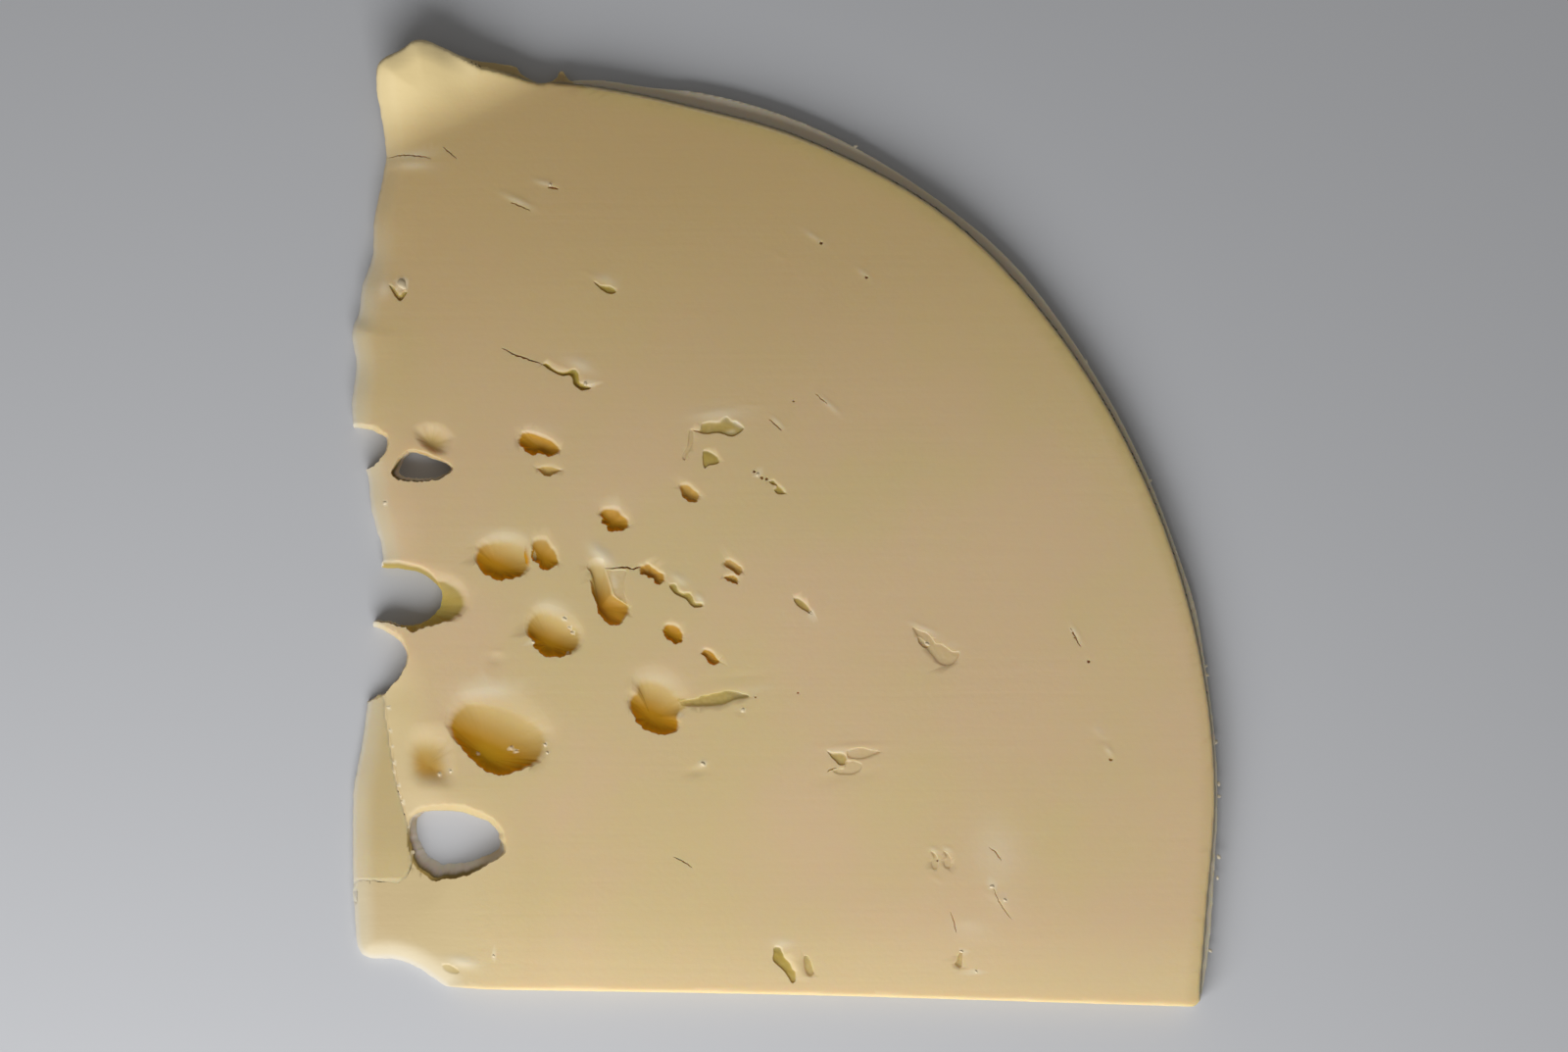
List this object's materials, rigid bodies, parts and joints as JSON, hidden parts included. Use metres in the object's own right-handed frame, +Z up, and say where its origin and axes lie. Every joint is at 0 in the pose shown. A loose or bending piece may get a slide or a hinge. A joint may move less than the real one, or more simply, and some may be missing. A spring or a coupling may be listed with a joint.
{
  "type": "provolone cheese slice",
  "caption": "Large quarter-round slice of provolone with rind arc, straight cut edge, torn side and eyes, lying in register on a like slice.",
  "frame": {"origin": "on the table, under the middle of the slices' bounding box", "axes": "+X towards the rind, +Y along the torn side towards the curled corner, +Z up through the slices"},
  "size_m": [0.1418, 0.1578, 0.0088],
  "materials": {
    "top_cheese": "satin sliced cheese, cream yellow, faint drag lines, glossy ochre eyes",
    "lower_cheese": "satin sliced cheese, a little deeper yellow where it shows"
  },
  "bodies": {
    "root": {"top_slice": "top_cheese", "lower_slice": "lower_cheese"}
  },
  "joints": []
}
